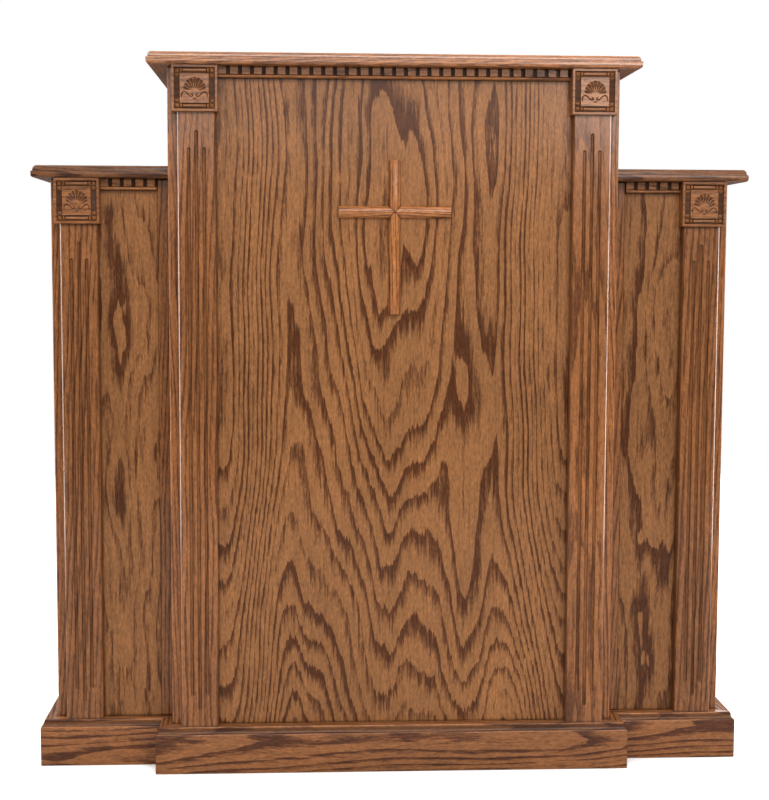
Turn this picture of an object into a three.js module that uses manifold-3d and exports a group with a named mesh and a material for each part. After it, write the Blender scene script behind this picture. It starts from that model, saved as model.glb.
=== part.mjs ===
// A church pulpit: a tall centre cabinet with a lower wing on each side.
// Millimetres. +X is the congregation's right, +Y points to the speaker, +Z is up.
// The origin is on the floor, under the middle of the whole object.

import * as THREE from "three";
import { mergeVertices } from "three/addons/utils/BufferGeometryUtils.js";
import Module from "manifold-3d";

const wasm = await Module();
wasm.setup();

// ---------------------------------------------------------------- driving dimensions

const OVERALL_HEIGHT = 1219.2;
const OVERALL_DEPTH = 609.6;
const GAP = 0.3; // left between pieces that touch
const SIDES = [["left", -1], ["right", 1]];

const BOARD = 18; // plywood panels and shelves
const TOP_THICKNESS = 21;
const TOP_EDGE_BACK = 12.8; // the tops stand this far past the back

const CENTRE = {
  halfWidth: 380,
  depth: 565,
  topOverhang: 32,
  topRailWidth: 82,
};
const WING = {
  outerX: 583,
  topZ: 1035.6,
  setBack: 54, // from the centre's front, and from its back
  topOverhang: 29,
  innerStileWidth: 22.5,
  innerStileProud: 3,
};
const CORNER_STILE = { width: 24, depth: 22 };

const BASE = { height: 80.5, proud: 27, ledge: 20.5 };
const BLOCK = { width: 76, height: 76.4, proud: 26, inset: 9 };
const PILASTER = { width: 62.8, proud: 20, towardsMiddle: 2.1, edge: 2.2 };
const FLUTE = { radius: 3.1, spacing: 12.8, end: 30, outerTop: 58, outerBottom: 54 };
const DENTIL = { height: 18.7, backing: 4.5, proud: 10, pitch: 19.7, gap: 6.6, bead: 5 };
const CROSS = { centreZ: 958.8, up: 86, down: 172, arm: 95, radius: 10.2 };

const DESK = { thickness: 18, slope: 11, drop: 2, frontSetBack: 6, backSetBack: 18 };
const BOOK_STOP = { height: 26, depth: 20, inset: 14 };
const CLEAT = { width: 20, height: 32, short: 30 };
const SHELF_SET_BACK = 30;
const CENTRE_SHELVES = [["upper_shelf", 800], ["lower_shelf", 450]];
const FLOOR_BOARD_Z = 62.5;
const TOE_SET_BACK = 12;
const WING_SHELF_Z = 560;
const BOLT = { radius: 4, headRadius: 9, headHeight: 2.4, y: [-140, 150], z: 700 };

const centreFront = -OVERALL_DEPTH / 2 + CENTRE.topOverhang;
const centreBack = centreFront + CENTRE.depth;
const centreSoffit = OVERALL_HEIGHT - TOP_THICKNESS;
const wingFront = centreFront + WING.setBack;
const wingBack = centreBack - WING.setBack;
const wingSoffit = WING.topZ - TOP_THICKNESS;
const overLedge = BASE.height + GAP;

// ---------------------------------------------------------------- materials

const wood = (color, roughness) => new THREE.MeshStandardMaterial({ color, roughness, metalness: 0 });
const MATERIAL = {
  panel: () => wood(0xa8794f, 0.42),
  solid: () => wood(0x9c6a43, 0.4),
  top: () => wood(0x8e5f3c, 0.32),
  base: () => wood(0x93603c, 0.4),
  carved: () => wood(0xa06d45, 0.42),
  inside: () => wood(0x9a6c47, 0.5),
  steel: () => new THREE.MeshStandardMaterial({ color: 0x8d8a84, roughness: 0.35, metalness: 0.9 }),
};

// ---------------------------------------------------------------- scene and small helpers

const pulpit = new THREE.Group();

function add(name, geometry, material) {
  const mesh = new THREE.Mesh(geometry, material);
  mesh.name = name;
  pulpit.add(mesh);
  return mesh;
}

// A flat board between two corners.
function board(name, material, [x0, x1], [y0, y1], [z0, z1]) {
  const size = [Math.abs(x1 - x0), Math.abs(y1 - y0), Math.abs(z1 - z0)];
  const mesh = add(name, new THREE.BoxGeometry(...size), material);
  mesh.position.set((x0 + x1) / 2, (y0 + y1) / 2, (z0 + z1) / 2);
  return mesh;
}

// manifold-3d joins and cuts closed geometries; these turn them into its solids and back.
function solid(geometry) {
  const plain = geometry.index ? geometry : geometry.clone();
  plain.deleteAttribute("normal");
  plain.deleteAttribute("uv");
  const merged = mergeVertices(plain, 1e-4);
  const vertProperties = new Float32Array(merged.attributes.position.array);
  const triVerts = new Uint32Array(merged.index.array);
  return new wasm.Manifold(new wasm.Mesh({ numProp: 3, vertProperties, triVerts }));
}

function geometryOf(manifold) {
  const { vertProperties, triVerts } = manifold.getMesh();
  const geometry = new THREE.BufferGeometry();
  geometry.setAttribute("position", new THREE.BufferAttribute(new Float32Array(vertProperties), 3));
  geometry.setIndex(new THREE.BufferAttribute(new Uint32Array(triVerts), 1));
  geometry.computeVertexNormals();
  return geometry;
}

// The toe rail under a floor board is set back from the cabinet's open back.
const toeRailY = (back) => [back - TOE_SET_BACK - BOARD, back - TOE_SET_BACK];

const box = (w, d, h, x = 0, y = 0, z = 0) => solid(new THREE.BoxGeometry(w, d, h).translate(x, y, z));

// A rod with round ends, from one point to another.
function capsule(radius, from, to, sides = 12) {
  const along = new THREE.Vector3().subVectors(to, from);
  const geometry = new THREE.CapsuleGeometry(radius, along.length(), 3, sides);
  const turn = new THREE.Quaternion().setFromUnitVectors(new THREE.Vector3(0, 1, 0), along.normalize());
  geometry.applyQuaternion(turn);
  geometry.translate((from.x + to.x) / 2, (from.y + to.y) / 2, (from.z + to.z) / 2);
  return solid(geometry);
}

const extrude = (shape, depth, curveSegments = 6) =>
  new THREE.ExtrudeGeometry(shape, { depth, bevelEnabled: false, curveSegments });

// ---------------------------------------------------------------- mouldings

// Runs a profile along a path in plan, one closed piece for each stretch, with mitred corners.
// Profile x is the distance out from the path, profile y is the height. Outwards is on the left.
function mouldingRun(profile, path, pieces) {
  const steps = pieces.map((_, i) => new THREE.Vector2().subVectors(path[i + 1], path[i]));
  pieces.forEach(([name, material], i) => {
    const length = steps[i].length();
    const geometry = extrude(profile, length);
    // +1 grows with the distance out, at an outside corner; -1 shrinks, at an inside corner
    const mitreStart = i === 0 ? 0 : -Math.sign(steps[i - 1].cross(steps[i]));
    const mitreEnd = i === steps.length - 1 ? 0 : -Math.sign(steps[i].cross(steps[i + 1]));
    const position = geometry.attributes.position;
    for (let v = 0; v < position.count; v += 1) {
      const out = position.getX(v);
      const atEnd = position.getZ(v) > length / 2;
      const shift = atEnd ? mitreEnd * out - GAP : GAP - mitreStart * out;
      position.setZ(v, position.getZ(v) + shift);
    }
    const travel = new THREE.Vector3(steps[i].x, steps[i].y, 0).normalize();
    const up = new THREE.Vector3(0, 0, 1);
    const outwards = new THREE.Vector3().crossVectors(up, travel);
    const mesh = add(name, geometry, material);
    mesh.quaternion.setFromRotationMatrix(new THREE.Matrix4().makeBasis(outwards, up, travel));
    mesh.position.set(path[i].x, path[i].y, 0);
  });
}

// Base board: upright face, a small cove between two fillets, then the flat ledge.
function baseProfile() {
  const { height, proud, ledge } = BASE;
  const shape = new THREE.Shape();
  shape.moveTo(GAP, 0);
  shape.lineTo(proud - 1.2, 0);
  shape.lineTo(proud, 1.2);
  shape.lineTo(proud, height - 14);
  shape.quadraticCurveTo(proud, height - 12, proud - 1.8, height - 12);
  shape.lineTo(proud - 2.4, height - 11.6);
  shape.quadraticCurveTo(ledge + 1.2, height - 9, ledge + 1.2, height - 2.6);
  shape.lineTo(ledge + 0.4, height - 2.2);
  shape.quadraticCurveTo(ledge + 0.4, height, ledge - 1.4, height);
  shape.lineTo(GAP, height);
  shape.closePath();
  return shape;
}

// Moulded edge of a top, from its underside up: round nose, fillet, quarter round.
// x is where the edge's tip is, out is +1 or -1, z is the underside.
function topEdgePoints(x, out, z, thickness = TOP_THICKNESS) {
  const points = [];
  const nose = 5;
  const step = 2.6;
  const stepHeight = 11.4;
  const roundWidth = 6.8;
  const roundHeight = thickness - stepHeight - 1;
  const segments = 6;
  const push = (inset, height) => points.push(new THREE.Vector2(x - out * inset, z + height));
  for (let i = 0; i <= segments; i += 1) {
    const a = (i / segments) * (Math.PI / 2);
    push(nose - nose * Math.sin(a), nose - nose * Math.cos(a));
  }
  push(0, stepHeight - 1.4);
  push(0.4, stepHeight - 0.4);
  push(1.4, stepHeight);
  push(step, stepHeight);
  for (let i = 0; i <= segments; i += 1) {
    const a = (i / segments) * (Math.PI / 2);
    push(step + roundWidth - roundWidth * Math.cos(a), stepHeight + 1 + roundHeight * Math.sin(a));
  }
  return points;
}

function topRailProfile() {
  const inner = CENTRE.topOverhang - CENTRE.topRailWidth;
  return new THREE.Shape([
    new THREE.Vector2(inner, centreSoffit),
    ...topEdgePoints(CENTRE.topOverhang, 1, centreSoffit),
    new THREE.Vector2(inner, OVERALL_HEIGHT),
  ]);
}

// ---------------------------------------------------------------- repeated ornaments

// Fluted pilaster standing on the ledge, its back on the plane y = backY.
function pilasterGeometry(backY, bottom, top) {
  const half = PILASTER.width / 2;
  const { proud, edge } = PILASTER;
  const outline = new THREE.Shape();
  outline.moveTo(-half, 0);
  outline.lineTo(half, 0);
  outline.lineTo(half, -proud + edge);
  outline.quadraticCurveTo(half, -proud, half - edge, -proud);
  outline.lineTo(-half + edge, -proud);
  outline.quadraticCurveTo(-half, -proud, -half, -proud + edge);
  outline.closePath();
  const upright = extrude(outline, top - bottom).translate(0, backY, bottom);
  let fluted = solid(upright);
  const faceY = backY - proud;
  for (const column of [-1, 0, 1]) {
    const outer = column !== 0;
    const low = bottom + (outer ? FLUTE.outerBottom : FLUTE.end) + FLUTE.radius;
    const high = top - (outer ? FLUTE.outerTop : FLUTE.end) - FLUTE.radius;
    const x = column * FLUTE.spacing;
    const from = new THREE.Vector3(x, faceY, low);
    const to = new THREE.Vector3(x, faceY, high);
    fluted = fluted.subtract(capsule(FLUTE.radius, from, to));
  }
  return geometryOf(fluted);
}

// Square block with a frame, sunk channels, corner pyramids and a raised field with a shell.
function shellBlockGeometry() {
  const { width, height, proud } = BLOCK;
  const frame = 4.2;
  const channel = 9.8;
  const sunk = 3.4;
  const halfW = width / 2;
  const halfH = height / 2;
  const faceY = -proud;
  const ease = 1.2;
  const outline = new THREE.Shape([
    new THREE.Vector2(-halfW, 0),
    new THREE.Vector2(halfW, 0),
    new THREE.Vector2(halfW, faceY + ease),
    new THREE.Vector2(halfW - ease, faceY),
    new THREE.Vector2(-halfW + ease, faceY),
    new THREE.Vector2(-halfW, faceY + ease),
  ]);
  let carved = solid(extrude(outline, height).translate(0, 0, -halfH));

  const ringX = halfW - frame - channel / 2;
  const ringZ = halfH - frame - channel / 2;
  const innerW = width - 2 * frame;
  const innerH = height - 2 * frame;
  for (const s of [-1, 1]) {
    carved = carved.subtract(box(channel, 2 * sunk, innerH, s * ringX, faceY, 0));
    carved = carved.subtract(box(innerW, 2 * sunk, channel, 0, faceY, s * ringZ));
  }
  const floorY = faceY + sunk;
  for (const sx of [-1, 1]) {
    for (const sz of [-1, 1]) {
      // four-sided, its apex forwards and its sides along x and z
      const pyramid = new THREE.ConeGeometry(4.6, sunk + 0.2, 4).rotateY(Math.PI / 4).rotateX(Math.PI);
      pyramid.translate(sx * ringX, floorY + 0.4 - sunk / 2, sz * ringZ);
      carved = carved.add(solid(pyramid));
    }
  }
  for (const sz of [-1, 1]) {
    const reach = halfW - frame - channel - 1;
    const from = new THREE.Vector3(-reach, floorY, sz * ringZ);
    const to = new THREE.Vector3(reach, floorY, sz * ringZ);
    carved = carved.add(capsule(2.4, from, to, 8));
  }

  const lobes = 9;
  const hinge = new THREE.Vector3(0, faceY + 0.5, -6);
  for (let i = 0; i < lobes; i += 1) {
    const across = (i / (lobes - 1)) * 2 - 1;
    const angle = across * THREE.MathUtils.degToRad(72);
    const reach = 23.4 - 4.5 * Math.abs(across);
    const tip = new THREE.Vector3(Math.sin(angle) * reach, faceY, -6 + Math.cos(angle) * reach);
    const start = new THREE.Vector3().lerpVectors(hinge, tip, 0.42);
    carved = carved.subtract(capsule(1.3, start, tip, 6));
  }
  return geometryOf(carved);
}

// Strip of square teeth over a bead. It starts at x = 0 with a tooth and stands on y = 0.
function dentilGeometry(length) {
  const { height, backing, proud, pitch, gap, bead } = DENTIL;
  const section = new THREE.Shape([
    new THREE.Vector2(0, 0),
    new THREE.Vector2(proud - 1.2, 0),
    new THREE.Vector2(proud, 1.2),
    new THREE.Vector2(proud, bead - 1.2),
    new THREE.Vector2(proud - 1.2, bead),
    new THREE.Vector2(backing, bead),
    new THREE.Vector2(backing, height),
    new THREE.Vector2(0, height),
  ]);
  const strip = extrude(section, length);
  // section x becomes -y (forwards), section y becomes z, the length becomes x
  strip.applyMatrix4(new THREE.Matrix4().makeBasis(
    new THREE.Vector3(0, -1, 0),
    new THREE.Vector3(0, 0, 1),
    new THREE.Vector3(-1, 0, 0),
  )).translate(length, 0, 0);
  let moulding = solid(strip);
  const tooth = pitch - gap;
  const toothBottom = bead + 0.6;
  const toothHeight = height - toothBottom;
  const toothDepth = proud - 0.8;
  for (let x = 0; x < length - 1; x += pitch) {
    const width = Math.min(tooth, length - x);
    const centreZ = toothBottom + toothHeight / 2;
    moulding = moulding.add(box(width, toothDepth, toothHeight, x + width / 2, -toothDepth / 2, centreZ));
  }
  return geometryOf(moulding);
}

// One arm of the cross: half-round, pointing up from the crossing, its foot mitred to a point.
function crossArmGeometry(length) {
  const { radius } = CROSS;
  const half = new THREE.Shape();
  half.absarc(0, 0, radius, Math.PI, 2 * Math.PI, false);
  half.closePath();
  const rod = solid(extrude(half, length, 14));
  const wedge = new THREE.Shape([
    new THREE.Vector2(0, GAP),
    new THREE.Vector2(length, length + GAP),
    new THREE.Vector2(-length, length + GAP),
  ]);
  const wedgeGeometry = extrude(wedge, 4 * radius).rotateX(Math.PI / 2).translate(0, 2 * radius, 0);
  return geometryOf(rod.intersect(solid(wedgeGeometry)));
}

// Flat board with moulded front, back and outer edges. side is +1 for the right wing.
function wingTopGeometry(side) {
  const inner = CENTRE.halfWidth + GAP;
  const outer = WING.outerX + WING.topOverhang;
  const frontTip = wingFront - WING.topOverhang;
  const backTip = wingBack + TOP_EDGE_BACK;
  const top = WING.topZ;
  const along = new THREE.Shape([
    ...topEdgePoints(backTip, 1, wingSoffit),
    ...topEdgePoints(frontTip, -1, wingSoffit).reverse(),
  ]);
  const lengthwise = extrude(along, outer * 2);
  lengthwise.applyMatrix4(new THREE.Matrix4().makeBasis(
    new THREE.Vector3(0, 1, 0),
    new THREE.Vector3(0, 0, 1),
    new THREE.Vector3(1, 0, 0),
  )).translate(-outer, 0, 0);
  const across = new THREE.Shape([
    new THREE.Vector2(side * inner, wingSoffit),
    ...topEdgePoints(side * outer, side, wingSoffit),
    new THREE.Vector2(side * inner, top),
  ]);
  const crosswise = extrude(across, OVERALL_DEPTH * 2).rotateX(Math.PI / 2).translate(0, OVERALL_DEPTH, 0);
  return geometryOf(solid(lengthwise).intersect(solid(crosswise)));
}

// ---------------------------------------------------------------- centre cabinet

function centreCabinet() {
  const half = CENTRE.halfWidth;
  const inside = half - BOARD;
  const topZ = centreSoffit - GAP;
  const panelHalf = half - CORNER_STILE.width - GAP;
  const panelBack = centreFront + BOARD;
  board("centre_front_panel", MATERIAL.panel(), [-panelHalf, panelHalf], [centreFront, panelBack], [0, topZ]);

  for (const [name, side] of SIDES) {
    const stileBack = centreFront + CORNER_STILE.depth;
    const stileX = [side * (half - CORNER_STILE.width), side * half];
    board(`centre_${name}_corner_stile`, MATERIAL.solid(), stileX, [centreFront, stileBack], [0, topZ]);

    const depth = [stileBack + GAP, centreBack];
    const panel = solid(new THREE.BoxGeometry(BOARD, depth[1] - depth[0], topZ).translate(
      side * (half - BOARD / 2), (depth[0] + depth[1]) / 2, topZ / 2));
    add(`centre_${name}_side_panel`, geometryOf(boltHoles(panel)), MATERIAL.panel());

    const pilasterX = half - BLOCK.inset - BLOCK.width / 2 - PILASTER.towardsMiddle;
    const blockBottom = centreSoffit - GAP - BLOCK.height;
    const pilaster = pilasterGeometry(centreFront - GAP, overLedge, blockBottom - GAP);
    add(`centre_${name}_pilaster`, pilaster, MATERIAL.solid()).position.x = side * pilasterX;

    const block = add(`centre_${name}_shell_block`, shellBlockGeometry(), MATERIAL.carved());
    const blockX = half - BLOCK.inset - BLOCK.width / 2;
    block.position.set(side * blockX, centreFront - GAP, blockBottom + BLOCK.height / 2);
  }

  const dentilLength = 2 * (half - BLOCK.inset - BLOCK.width - GAP);
  const dentil = add("centre_dentil", dentilGeometry(dentilLength), MATERIAL.solid());
  dentil.position.set(-dentilLength / 2, centreFront - GAP, centreSoffit - GAP - DENTIL.height);

  const shelfX = [-inside + GAP, inside - GAP];
  const shelfY = [centreFront + CORNER_STILE.depth + GAP, centreBack - SHELF_SET_BACK];
  for (const [name, z] of CENTRE_SHELVES) {
    board(name, MATERIAL.inside(), shelfX, shelfY, [z, z + BOARD]);
  }
  const floorTop = FLOOR_BOARD_Z + BOARD;
  board("floor_board", MATERIAL.inside(), shelfX, [shelfY[0], centreBack], [FLOOR_BOARD_Z, floorTop]);
  board("toe_rail", MATERIAL.solid(), shelfX, toeRailY(centreBack), [0, FLOOR_BOARD_Z - GAP]);
}

// Moulded frame round the reading desk, mitred at its two front corners.
function centreTop() {
  const half = CENTRE.halfWidth;
  const end = OVERALL_DEPTH / 2;
  const path = [
    new THREE.Vector2(half, end),
    new THREE.Vector2(half, centreFront),
    new THREE.Vector2(-half, centreFront),
    new THREE.Vector2(-half, end),
  ];
  mouldingRun(topRailProfile(), path, [
    ["top_right_rail", MATERIAL.top()],
    ["top_front_rail", MATERIAL.top()],
    ["top_left_rail", MATERIAL.top()],
  ]);
}

// The desk slopes down to the speaker between the side panels, under the moulded frame.
function readingDesk() {
  const inside = CENTRE.halfWidth - BOARD - GAP;
  const slope = THREE.MathUtils.degToRad(DESK.slope);
  const frontY = centreFront + CORNER_STILE.depth + DESK.frontSetBack;
  const length = (centreBack - DESK.backSetBack - frontY) / Math.cos(slope);
  const { thickness } = DESK;
  const tilted = new THREE.Group();
  tilted.position.set(0, frontY, centreSoffit - DESK.drop);
  tilted.rotation.x = -slope;
  pulpit.add(tilted);

  // in the tilted group, y runs down the slope and z = 0 is the desk's face
  tilted.add(board("reading_desk", MATERIAL.panel(), [-inside, inside], [0, length], [-thickness, 0]));

  const stopHalf = inside - 2;
  const stopBack = length - BOOK_STOP.inset;
  const stopY = [stopBack - BOOK_STOP.depth, stopBack];
  const stopZ = [GAP, GAP + BOOK_STOP.height];
  tilted.add(board("book_stop", MATERIAL.solid(), [-stopHalf, stopHalf], stopY, stopZ));

  const cleatZ = [-thickness - GAP - CLEAT.height, -thickness - GAP];
  for (const [name, side] of SIDES) {
    const cleatX = [side * (inside - CLEAT.width), side * inside];
    const cleatY = [CLEAT.short, length - CLEAT.short];
    tilted.add(board(`desk_${name}_cleat`, MATERIAL.inside(), cleatX, cleatY, cleatZ));
  }
}

function cross() {
  const { centreZ, up, down, arm } = CROSS;
  const arms = [["upper", up, 0], ["left", arm, -90], ["lower", down, 180], ["right", arm, 90]];
  for (const [name, length, turn] of arms) {
    const mesh = add(`cross_${name}_arm`, crossArmGeometry(length), MATERIAL.solid());
    mesh.position.set(0, centreFront - GAP, centreZ);
    mesh.rotation.y = THREE.MathUtils.degToRad(turn);
  }
}

// ---------------------------------------------------------------- wings

function wing(name, side) {
  const outer = WING.outerX;
  const inner = CENTRE.halfWidth + GAP;
  const topZ = wingSoffit - GAP;
  const x = (a, b) => [side * a, side * b];
  const stileEnd = inner + WING.innerStileWidth;
  const cornerStart = outer - CORNER_STILE.width;
  const panelBack = wingFront + BOARD;
  const stileFront = wingFront - WING.innerStileProud;
  const stileBack = wingFront + CORNER_STILE.depth;
  const sideY = [stileBack + GAP, wingBack];

  const front = [wingFront, panelBack];
  board(`${name}_wing_front_panel`, MATERIAL.panel(), x(stileEnd + GAP, cornerStart - GAP), front, [0, topZ]);
  const stileY = [stileFront, stileBack];
  board(`${name}_wing_inner_stile`, MATERIAL.solid(), x(inner, stileEnd), stileY, [overLedge, topZ]);
  const cornerY = [wingFront, stileBack];
  board(`${name}_wing_corner_stile`, MATERIAL.solid(), x(cornerStart, outer), cornerY, [0, topZ]);
  board(`${name}_wing_outer_panel`, MATERIAL.panel(), x(outer - BOARD, outer), sideY, [0, topZ]);
  const innerPanel = solid(new THREE.BoxGeometry(BOARD, sideY[1] - sideY[0], topZ).translate(
    side * (inner + BOARD / 2), (sideY[0] + sideY[1]) / 2, topZ / 2));
  add(`${name}_wing_inner_panel`, geometryOf(boltHoles(innerPanel)), MATERIAL.inside());
  add(`${name}_wing_top`, wingTopGeometry(side), MATERIAL.top());

  const blockX = outer - BLOCK.inset - BLOCK.width / 2;
  const blockBottom = wingSoffit - GAP - BLOCK.height;
  const pilasterX = blockX - PILASTER.towardsMiddle;
  const pilaster = pilasterGeometry(wingFront - GAP, overLedge, blockBottom - GAP);
  add(`${name}_wing_pilaster`, pilaster, MATERIAL.solid()).position.x = side * pilasterX;
  const block = add(`${name}_wing_shell_block`, shellBlockGeometry(), MATERIAL.carved());
  block.position.set(side * blockX, wingFront - GAP, blockBottom + BLOCK.height / 2);

  const dentilEnd = blockX - BLOCK.width / 2 - GAP;
  const dentilStart = stileEnd + GAP;
  const dentil = add(`${name}_wing_dentil`, dentilGeometry(dentilEnd - dentilStart), MATERIAL.solid());
  const dentilX = side < 0 ? -dentilEnd : dentilStart;
  dentil.position.set(dentilX, wingFront - GAP, wingSoffit - GAP - DENTIL.height);

  const shelfX = x(inner + BOARD + GAP, outer - BOARD - GAP);
  const shelfY = [stileBack + GAP, wingBack - SHELF_SET_BACK];
  board(`${name}_wing_shelf`, MATERIAL.inside(), shelfX, shelfY, [WING_SHELF_Z, WING_SHELF_Z + BOARD]);
  const floorZ = [FLOOR_BOARD_Z, FLOOR_BOARD_Z + BOARD];
  board(`${name}_wing_floor_board`, MATERIAL.inside(), shelfX, [shelfY[0], wingBack], floorZ);
  board(`${name}_wing_toe_rail`, MATERIAL.solid(), shelfX, toeRailY(wingBack), [0, FLOOR_BOARD_Z - GAP]);
}

// ---------------------------------------------------------------- base boards

function baseBoards() {
  const half = CENTRE.halfWidth;
  const outer = WING.outerX;
  const path = [
    new THREE.Vector2(outer, wingBack),
    new THREE.Vector2(outer, wingFront),
    new THREE.Vector2(half, wingFront),
    new THREE.Vector2(half, centreFront),
    new THREE.Vector2(-half, centreFront),
    new THREE.Vector2(-half, wingFront),
    new THREE.Vector2(-outer, wingFront),
    new THREE.Vector2(-outer, wingBack),
  ];
  const names = [
    "right_wing_base_side",
    "right_wing_base_front",
    "centre_base_right_return",
    "centre_base_front",
    "centre_base_left_return",
    "left_wing_base_front",
    "left_wing_base_side",
  ];
  mouldingRun(baseProfile(), path, names.map((name) => [name, MATERIAL.base()]));
}

// ---------------------------------------------------------------- bolts that join wing and centre

const boltLength = 2 * BOARD + GAP;

// Drills a side panel for the two bolts that pass through it.
function boltHoles(panel) {
  let drilled = panel;
  for (const y of BOLT.y) {
    const reach = 4 * WING.outerX;
    const drill = new THREE.CylinderGeometry(BOLT.radius + GAP, BOLT.radius + GAP, reach, 16);
    drilled = drilled.subtract(solid(drill.rotateZ(Math.PI / 2).translate(0, y, BOLT.z)));
  }
  return drilled;
}

function connectorBolts() {
  const { radius, headRadius, headHeight } = BOLT;
  const end = boltLength / 2 + GAP;
  const profile = [
    new THREE.Vector2(0, -end - headHeight),
    new THREE.Vector2(headRadius - 1, -end - headHeight),
    new THREE.Vector2(headRadius, -end - headHeight + 1),
    new THREE.Vector2(headRadius, -end),
    new THREE.Vector2(radius, -end),
    new THREE.Vector2(radius, end),
    new THREE.Vector2(headRadius, end),
    new THREE.Vector2(headRadius, end + headHeight - 1),
    new THREE.Vector2(headRadius - 1, end + headHeight),
    new THREE.Vector2(0, end + headHeight),
  ];
  for (const [name, side] of SIDES) {
    for (const [place, y] of [["front", BOLT.y[0]], ["rear", BOLT.y[1]]]) {
      const turned = new THREE.LatheGeometry(profile, 16);
      const bolt = add(`${name}_${place}_connector_bolt`, turned, MATERIAL.steel());
      bolt.rotation.z = Math.PI / 2;
      bolt.position.set(side * (CENTRE.halfWidth + GAP / 2), y, BOLT.z);
    }
  }
}

centreCabinet();
centreTop();
readingDesk();
cross();
for (const [name, side] of SIDES) wing(name, side);
baseBoards();
connectorBolts();

export default pulpit;
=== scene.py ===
"""A stained oak wing pulpit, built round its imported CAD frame. Metres, +Z up, the congregation at -Y."""

import math

import bmesh
import bpy
import numpy as np
from mathutils import Matrix, Vector


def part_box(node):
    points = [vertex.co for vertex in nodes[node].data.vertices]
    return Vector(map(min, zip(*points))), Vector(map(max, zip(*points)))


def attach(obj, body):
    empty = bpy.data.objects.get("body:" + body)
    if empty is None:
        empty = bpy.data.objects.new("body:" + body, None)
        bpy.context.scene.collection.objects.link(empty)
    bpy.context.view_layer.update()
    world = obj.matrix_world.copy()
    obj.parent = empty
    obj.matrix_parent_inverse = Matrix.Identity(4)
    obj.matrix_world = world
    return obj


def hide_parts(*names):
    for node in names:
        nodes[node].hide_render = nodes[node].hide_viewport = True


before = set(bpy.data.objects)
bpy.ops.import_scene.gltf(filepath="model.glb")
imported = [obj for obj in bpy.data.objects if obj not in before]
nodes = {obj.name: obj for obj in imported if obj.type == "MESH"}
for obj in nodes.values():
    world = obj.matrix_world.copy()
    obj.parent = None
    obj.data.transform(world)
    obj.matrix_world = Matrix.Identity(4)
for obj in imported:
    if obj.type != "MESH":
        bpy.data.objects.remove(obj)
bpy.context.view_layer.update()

SIDES = (("left", -1), ("right", 1))
MM = 0.001
GAP = 0.3 * MM  # between pieces that touch


# ---------------------------------------------------------------- shader graph helper

class Graph:
    """Short names for building a node tree. A value is a number, a tuple or another node's output."""

    def __init__(self, tree, material=None):
        self.tree = tree
        self.material = material

    def add(self, kind, **settings):
        node = self.tree.nodes.new(kind)
        for key, value in settings.items():
            setattr(node, key, value)
        return node

    def plug(self, value, socket):
        if isinstance(value, bpy.types.NodeSocket):
            self.tree.links.new(value, socket)
        else:
            socket.default_value = value

    def math(self, operation, a, b=None, c=None):
        node = self.add("ShaderNodeMath", operation=operation)
        for value, socket in zip((a, b, c), node.inputs):
            if value is not None:
                self.plug(value, socket)
        return node.outputs[0]

    def vector(self, operation, a, b=None, scale=None):
        node = self.add("ShaderNodeVectorMath", operation=operation)
        self.plug(a, node.inputs[0])
        if b is not None:
            self.plug(b, node.inputs[1])
        if scale is not None:
            self.plug(scale, node.inputs["Scale"])
        return node.outputs["Vector"]

    def split(self, vector):
        node = self.add("ShaderNodeSeparateXYZ")
        self.plug(vector, node.inputs[0])
        return node.outputs

    def join(self, x, y, z):
        node = self.add("ShaderNodeCombineXYZ")
        for value, socket in zip((x, y, z), node.inputs):
            self.plug(value, socket)
        return node.outputs[0]

    def noise(self, vector, stretch, detail=2.0, roughness=0.5, output="Fac"):
        """Noise from 0 to 1 about 0.5. stretch is cycles a metre along each axis."""
        node = self.add("ShaderNodeTexNoise", noise_dimensions="3D")
        self.plug(self.vector("MULTIPLY", vector, stretch), node.inputs["Vector"])
        node.inputs["Scale"].default_value = 1.0
        node.inputs["Detail"].default_value = detail
        node.inputs["Roughness"].default_value = roughness
        return node.outputs[output]

    def centred(self, value, amount):
        """A 0 to 1 noise turned into -amount to +amount."""
        return self.math("MULTIPLY_ADD", value, 2 * amount, -amount)

    def step(self, value, low, high):
        """Smooth step from 0 at low to 1 at high."""
        node = self.add("ShaderNodeMapRange", interpolation_type="SMOOTHSTEP")
        self.plug(value, node.inputs["Value"])
        self.plug(low, node.inputs["From Min"])
        self.plug(high, node.inputs["From Max"])
        return node.outputs["Result"]

    def mix(self, factor, a, b):
        """Colour a where factor is 0 and b where it is 1."""
        node = self.add("ShaderNodeMix", data_type="RGBA")
        for value, identifier in ((factor, "Factor_Float"), (a, "A_Color"), (b, "B_Color")):
            self.plug(value, next(socket for socket in node.inputs if socket.identifier == identifier))
        return next(socket for socket in node.outputs if socket.identifier == "Result_Color")

    def group(self, tree, **values):
        node = self.add("ShaderNodeGroup", node_tree=tree)
        for label, value in values.items():
            self.plug(value, node.inputs[label])
        return node.outputs


def new_group(name, inputs, outputs):
    """A node group, as its graph, its input values and its output sockets."""
    tree = bpy.data.node_groups.new(name, "ShaderNodeTree")
    kinds = {"f": "NodeSocketFloat", "v": "NodeSocketVector", "c": "NodeSocketColor"}
    for label, kind in inputs.items():
        tree.interface.new_socket(label, in_out="INPUT", socket_type=kinds[kind])
    for label, kind in outputs.items():
        tree.interface.new_socket(label, in_out="OUTPUT", socket_type=kinds[kind])
    graph = Graph(tree)
    return graph, graph.add("NodeGroupInput").outputs, graph.add("NodeGroupOutput").inputs


def new_material(name):
    material = bpy.data.materials.new(name)
    material.use_nodes = True
    material.node_tree.nodes.clear()
    return Graph(material.node_tree, material)


# ---------------------------------------------------------------- oak: figure
# Every group below works in the wood's own space, in metres: x across the face, y into it, z along the grain.
# A figure is a count of growth rings at each point, so its whole numbers are the rings' edges.

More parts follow.
